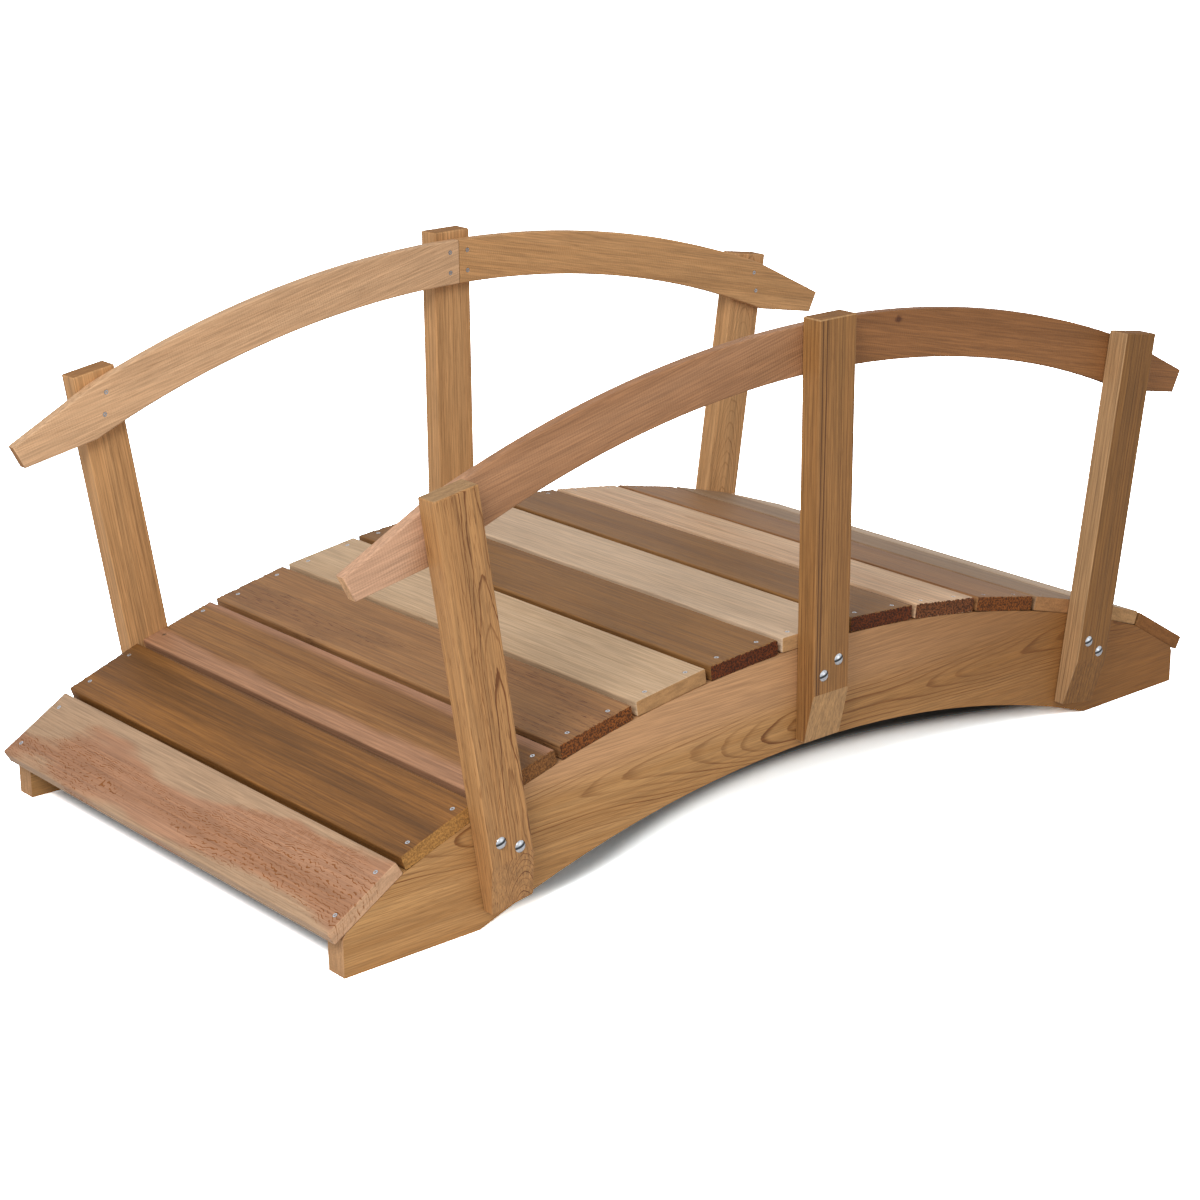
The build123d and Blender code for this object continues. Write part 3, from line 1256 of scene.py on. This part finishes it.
@dataclass
class Posts:
    """Six posts on the outer faces of the stringers.

    Attributes:
        lean: Outward lean of the end posts, in degrees.
        first_seed: Place of the first post in the noise.
    """

    lean: float = 8.7
    first_seed: float = 51.0

    def looks(self) -> dict[str, tuple[Tone, WoodFigure, tuple[Strip, ...]]]:
        """Tone, figure and strips of each post.

        Returns:
            One entry a post.
        """
        straight = WoodFigure(
            ring=0.0042, pith_across=0.16, pith_depth=0.13, taper=0.0, wave=0.004, contrast=0.9, dark=0.34,
            flecks=0.3, ragged=0.0,
        )
        ovals = replace(
            straight, ring=0.0026, pith_across=0.02, pith_depth=0.03, taper=0.02, contrast=1.45, dark=0.28,
            curl=1.1, curl_length=0.11, spread=0.02, flecks=0.7,
        )
        far_ovals = replace(ovals, pith_across=0.0, taper=0.1, contrast=1.2, flecks=0.4)
        shake = srgb(84, 52, 28)
        grooves = (
            Strip(shake, -0.0335, wander=0.002, width=0.002, soft=0.0007),
            Strip(shake, -0.0265, wander=0.003, width=0.0022, soft=0.0008, lean=-0.006),
        )
        # Painted light: the post's left face is painted paler, with a thin painted highlight along the edge
        # of its outer face.
        painted_lit_side = (Strip(srgb(177, 138, 97), 0.0376, -1, 0.0, soft=0.0005, clears=0.3),)
        return {
            "right_start": (Tone.HONEY, ovals, ()),
            "right_middle": (Tone.TAWNY, replace(straight, fresh=1.0), grooves),
            "right_end": (Tone.NUTMEG, replace(straight, ring=0.0055, pith_across=-0.16), painted_lit_side),
            "left_start": (Tone.AMBER, replace(straight, contrast=0.5), ()),
            "left_middle": (Tone.AMBER, replace(straight, contrast=0.5, ring=0.005), ()),
            "left_end": (Tone.AMBER, far_ovals, ()),
        }

    def build(self) -> None:
        """Dress the posts."""
        leans = {"start": -self.lean, "middle": 0.0, "end": self.lean}
        for number, (name, (tone, figure, strips)) in enumerate(self.looks().items()):
            node = f"post_{name}"
            tilt = math.radians(leans[name.split("_")[1]])
            seed = self.first_seed + number
            finish = CedarFinish(tone.value, figure, Grain.POST, tuple(middle(node)), tilt, seed, strips)
            dress(node, finish.material(f"cedar_{node}"))
        log.info("posts: %d", len(self.looks()))


@dataclass(frozen=True)
class RailBoard:
    """One curved half of a handrail, with seats for its screws in the face towards the walkway.

    Attributes:
        node: CAD node that it stands for.
        number: Its number, for its place in the noise.
        side: 1 on the left of the walkway and -1 on the right.
        end: -1 at the start of the walkway and 1 at its end.
        tone: Its colours.
        figure: Its rings and surface.
        strips: Its strips of another colour.
        knots: Its knots.
        slope: Mean slope of the rail, in degrees.
        inner_face: Distance of its inner face from the centre plane, in metres.
        screw_spots: Distance from the middle of the bridge and height of each screw, in metres.
        first_seed: Place of the first rail in the noise.
        flat_angle: Turn up to which faces are merged, in degrees.
    """

    node: str
    number: int
    side: int
    end: int
    tone: Tone
    figure: WoodFigure
    strips: tuple[Strip, ...] = ()
    knots: tuple[Knot, ...] = ()
    slope: float = 12.7
    inner_face: float = 0.437
    screw_spots: tuple[tuple[float, float], ...] = (
        (0.019, 0.778),
        (0.019, 0.742),
        (0.718, 0.643),
        (0.723, 0.607),
    )
    first_seed: float = 71.0
    flat_angle: float = 0.05

    def screw_places(self) -> list[Matrix]:
        """Where its four screws sit.

        Returns:
            Two places at the middle post and two at the end post.
        """
        inward = Matrix.Rotation(self.side * math.pi / 2, 4, "X")
        places = [(self.end * x, self.side * self.inner_face, z) for x, z in self.screw_spots]
        return [Matrix.Translation(place) @ inward for place in places]

    def build(self) -> None:
        """Build and dress the rail."""
        mesh = bmesh.new()
        mesh.from_mesh(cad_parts[self.node].data)
        bmesh.ops.remove_doubles(mesh, verts=mesh.verts, dist=TOUCH)
        flat = math.radians(self.flat_angle)
        bmesh.ops.dissolve_limit(mesh, angle_limit=flat, verts=mesh.verts, edges=mesh.edges)
        tilt = math.radians(self.end * self.slope)
        centre = tuple(middle(self.node))
        seed = self.first_seed + self.number
        finish = CedarFinish(
            self.tone.value, self.figure, Grain.BEAM, centre, tilt, seed, self.strips, self.knots
        )
        name = self.node.replace("handrail", "rail")
        piece = shown(name, mesh, finish.material(f"cedar_{name}"))
        sink_seats(piece, self.screw_places())
        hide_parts(self.node)


@dataclass
class Handrails:
    """Two curved rails a side, screwed to the posts from the walkway."""

    def rails(self) -> list[RailBoard]:
        """The four halves.

        Returns:
            The rails of the right side, then those of the left.
        """
        sawn = WoodFigure(
            ring=0.005, pith_across=0.15, pith_depth=-0.02, taper=0.0, wave=0.008, contrast=0.3, streaks=0.65,
            flecks=0.25, saw=1.0, ragged=0.2,
        )
        pale_tail = Strip(srgb(198, 155, 124), 0.3, 1, 0.05, soft=0.06, lean=-1.0)
        looks = {
            "right_start": (Tone.FAWN, sawn, (pale_tail,), ()),
            "right_end": (Tone.SIENNA, sawn, (), (Knot(-0.291, 0.043, 0.008),)),
            "left_start": (Tone.SAND, sawn, (), ()),
            "left_end": (Tone.AMBER, sawn, (), ()),
        }
        made = []
        for number, (name, look) in enumerate(looks.items()):
            side = 1 if name.startswith("left") else -1
            end = 1 if name.endswith("end") else -1
            made.append(RailBoard(f"handrail_{name}", number, side, end, *look))
        return made

    def build(self, zinc: bpy.types.Material) -> None:
        """Build the rails and their screws.

        Args:
            zinc: Finish of the screws.
        """
        rails = self.rails()
        for rail in rails:
            rail.build()
        log.info("handrails: %d", len(rails))
        for side_name, side in (("left", 1), ("right", -1)):
            row = [place for rail in rails if rail.side == side for place in rail.screw_places()]
            screw_row(f"rail_screws_{side_name}", row, zinc)


@dataclass(frozen=True)
class SoftLamp:
    """Square lamp that faces the middle of the bridge.

    Attributes:
        name: Its name.
        place: Where it hangs, in metres.
        power: Its power, in watts.
        size: Its side, in metres.
        aim: Point that it faces, in metres.
    """

    name: str
    place: tuple[float, float, float]
    power: float
    size: float
    aim: tuple[float, float, float] = (0.0, 0.0, 0.3)

    def hang(self) -> None:
        """Hang the lamp in its place."""
        data = bpy.data.lights.new(self.name, "AREA")
        data.energy = self.power
        data.size = self.size
        lamp = bpy.data.objects.new(self.name, data)
        turn = (Vector(self.aim) - Vector(self.place)).to_track_quat("-Z", "Y")
        lamp.matrix_world = Matrix.Translation(self.place) @ turn.to_matrix().to_4x4()
        bpy.context.scene.collection.objects.link(lamp)


@dataclass(frozen=True)
class Floor:
    """White floor that keeps the bridge's shadow.

    To the camera it is bright outside a strip of painted shadow under the bridge, which widens from its
    waist; the painted shadow deepens the bridge's real shadow there.

    Attributes:
        reach: Half of its side, in metres.
        drop: Its depth under the feet, in metres.
        plain: Whiteness to all other light.
        white: Whiteness as the camera sees it.
        painted_shadow_level: Its whiteness in the painted shadow under the middle of the bridge.
        painted_shadow_start_level: Its whiteness in the painted shadow under the start of the bridge, painted
            lighter where light leaks in.
        painted_shadow_span: Places along the bridge between which the one turns into the other, in metres.
        waist_x: Place of the painted shadow strip's waist along the bridge, in metres.
        waist: Half width of the strip there, in metres.
        growth: How its half width grows with the square of the distance from there.
        widest: Its largest half width, in metres.
        blend: How softly it comes to that width, in metres.
        soft: Half width of its blurred border, in metres.
        ends: Distances from the middle of the bridge between which the strip ends, in metres.
        painted_shadow_tint: Shares of red, green and blue on the white about the bridge, which cool the
            painted shadow.
    """

    reach: float = 60.0
    drop: float = 0.0005
    plain: float = 0.9
    white: float = 8.0
    painted_shadow_level: float = 0.2
    painted_shadow_start_level: float = 1.5
    painted_shadow_span: tuple[float, float] = (-0.5, 0.2)
    waist_x: float = 0.14
    waist: float = 0.273
    growth: float = 0.5
    widest: float = 0.43
    blend: float = 0.12
    soft: float = 0.042
    ends: tuple[float, float] = (0.85, 0.93)
    painted_shadow_tint: Colour = (0.87, 1.0, 1.07)

    def seen_colour_with_painted_shadow(self, g: NodeGraph) -> Socket:
        """Colour of the floor as the camera sees it, with the painted shadow under the bridge.

        Args:
            g: Graph of its material.

        Returns:
            The colour.
        """
        place = g.split(g.add("ShaderNodeTexCoord").outputs["Object"])
        beyond_ends = g.ramp(g.math("ABSOLUTE", place["X"]), *self.ends)
        off_waist = g.math("SUBTRACT", place["X"], self.waist_x)
        edge = g.math("MULTIPLY_ADD", g.math("MULTIPLY", off_waist, off_waist), self.growth, self.waist)
        edge = g.math("SMOOTH_MIN", edge, self.widest, self.blend)
        over = g.math("SUBTRACT", g.math("ABSOLUTE", place["Y"]), edge)
        outside_painted_shadow = g.math("MAXIMUM", beyond_ends, g.ramp(over, -self.soft, self.soft))
        # Painted shadow: the floor is painted dark under the bridge, less so towards its start.
        under = g.ramp(place["X"], *self.painted_shadow_span, self.painted_shadow_start_level, self.painted_shadow_level)
        level = g.ramp(outside_painted_shadow, 0.0, 1.0, under, self.white)
        colour = g.add("ShaderNodeCombineColor")
        for socket, share in zip(colour.inputs, self.painted_shadow_tint):
            g.feed(socket, g.math("MULTIPLY", level, g.ramp(beyond_ends, 0.0, 0.5, share, 1.0)))
        return colour.outputs[0]

    def build(self) -> None:
        """Lay the floor."""
        mesh = bmesh.new()
        bmesh.ops.create_grid(mesh, x_segments=1, y_segments=1, size=self.reach)
        bmesh.ops.translate(mesh, verts=mesh.verts, vec=(0.0, 0.0, -self.drop))
        floor = as_object("floor", mesh)
        g = NodeGraph(bpy.data.materials.new("floor_white_painted_shadow"))
        plain = g.add("ShaderNodeBsdfDiffuse")
        g.feed(plain.inputs["Color"], (self.plain, self.plain, self.plain, 1.0))
        seen = g.add("ShaderNodeBsdfDiffuse")
        g.feed(seen.inputs["Color"], self.seen_colour_with_painted_shadow(g))
        both = g.add("ShaderNodeMixShader")
        to_camera = g.add("ShaderNodeLightPath").outputs["Is Camera Ray"]
        g.feed_all(both.inputs, (to_camera, plain.outputs[0], seen.outputs[0]))
        floor.data.materials.append(g.close(both.outputs[0]))


@dataclass(frozen=True)
class Studio:
    """Pale floor, white surround and soft lamps, with the camera at the photograph's place.

    Attributes:
        location: Camera, in metres.
        yaw: Heading of the camera from +X towards +Y, in degrees.
        pitch: Its slope, in degrees.
        roll: Its turn about the line of sight, in degrees.
        lens: Focal length on a sensor 36 mm wide.
        far: Farthest distance that it sees, in metres.
        surround: Light of the white surround.
        lamps: The lamps.
    """

    location: tuple[float, float, float] = (-2.8217, -3.2485, 1.6682)
    yaw: float = 49.557
    pitch: float = -18.339
    roll: float = -0.386
    lens: float = 80.02
    far: float = 200.0
    surround: float = 0.5
    lamps: tuple[SoftLamp, ...] = (
        SoftLamp("key", (-3.6, -2.1, 3.3), 145.0, 1.8),
        SoftLamp("fill", (0.4, -4.6, 2.2), 24.0, 3.0),
    )

    def camera(self) -> None:
        """Create the camera and make it the scene's."""
        yaw, pitch, roll = (math.radians(a) for a in (self.yaw, self.pitch, self.roll))
        forward = Vector((math.cos(pitch) * math.cos(yaw), math.cos(pitch) * math.sin(yaw), math.sin(pitch)))
        level = Vector((math.sin(yaw), -math.cos(yaw), 0.0))
        upright = level.cross(forward)
        right = level * math.cos(roll) + upright * math.sin(roll)
        up = upright * math.cos(roll) - level * math.sin(roll)
        turn = Matrix((right, up, -forward)).transposed()
        data = bpy.data.cameras.new("camera")
        data.lens = self.lens
        data.clip_end = self.far
        camera = bpy.data.objects.new("camera", data)
        camera.matrix_world = Matrix.Translation(self.location) @ turn.to_4x4()
        bpy.context.scene.collection.objects.link(camera)
        bpy.context.scene.camera = camera

    def world(self) -> None:
        """Light the scene from a white surround, which is plain white to the eye, to metal and to glass."""
        g = NodeGraph(bpy.data.worlds.new("surround"))
        path = g.add("ShaderNodeLightPath").outputs
        seen = g.math("MAXIMUM", path["Is Camera Ray"], path["Is Glossy Ray"])
        seen = g.math("MAXIMUM", seen, path["Is Transmission Ray"])
        strength = g.add("ShaderNodeMapRange")
        g.feed(strength.inputs["Value"], seen)
        strength.inputs["To Min"].default_value = self.surround
        strength.inputs["To Max"].default_value = 1.0
        background = g.add("ShaderNodeBackground")
        background.inputs["Color"].default_value = (1.0, 1.0, 1.0, 1.0)
        g.feed(background.inputs["Strength"], strength.outputs[0])
        bpy.context.scene.world = g.close(background.outputs[0], "ShaderNodeOutputWorld")

    def build(self) -> None:
        """Build the floor, the light and the camera."""
        Floor().build()
        self.world()
        for lamp in self.lamps:
            lamp.hang()
        self.camera()
        bpy.context.scene.view_settings.view_transform = "Standard"
        log.info("studio: floor, surround, lamps and camera")


def main() -> None:
    """Dress the bridge and build its studio."""
    logging.basicConfig(level=logging.INFO, format="%(name)s: %(message)s")
    zinc = ZincFinish().material("zinc")
    # Zinc of the bolts' domed heads, with a painted reflection and painted shade.
    zinc_painted_reflection = ZincFinish(domed=True).material("zinc_painted_reflection")
    Deck().build(zinc)
    Stringers().build()
    Posts().build()
    Handrails().build(zinc)
    for name in sorted(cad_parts):
        if name.startswith("bolts"):
            dress(name, zinc_painted_reflection)
    log.info("bolts dressed")
    Studio().build()


if __name__ == "__main__":
    main()
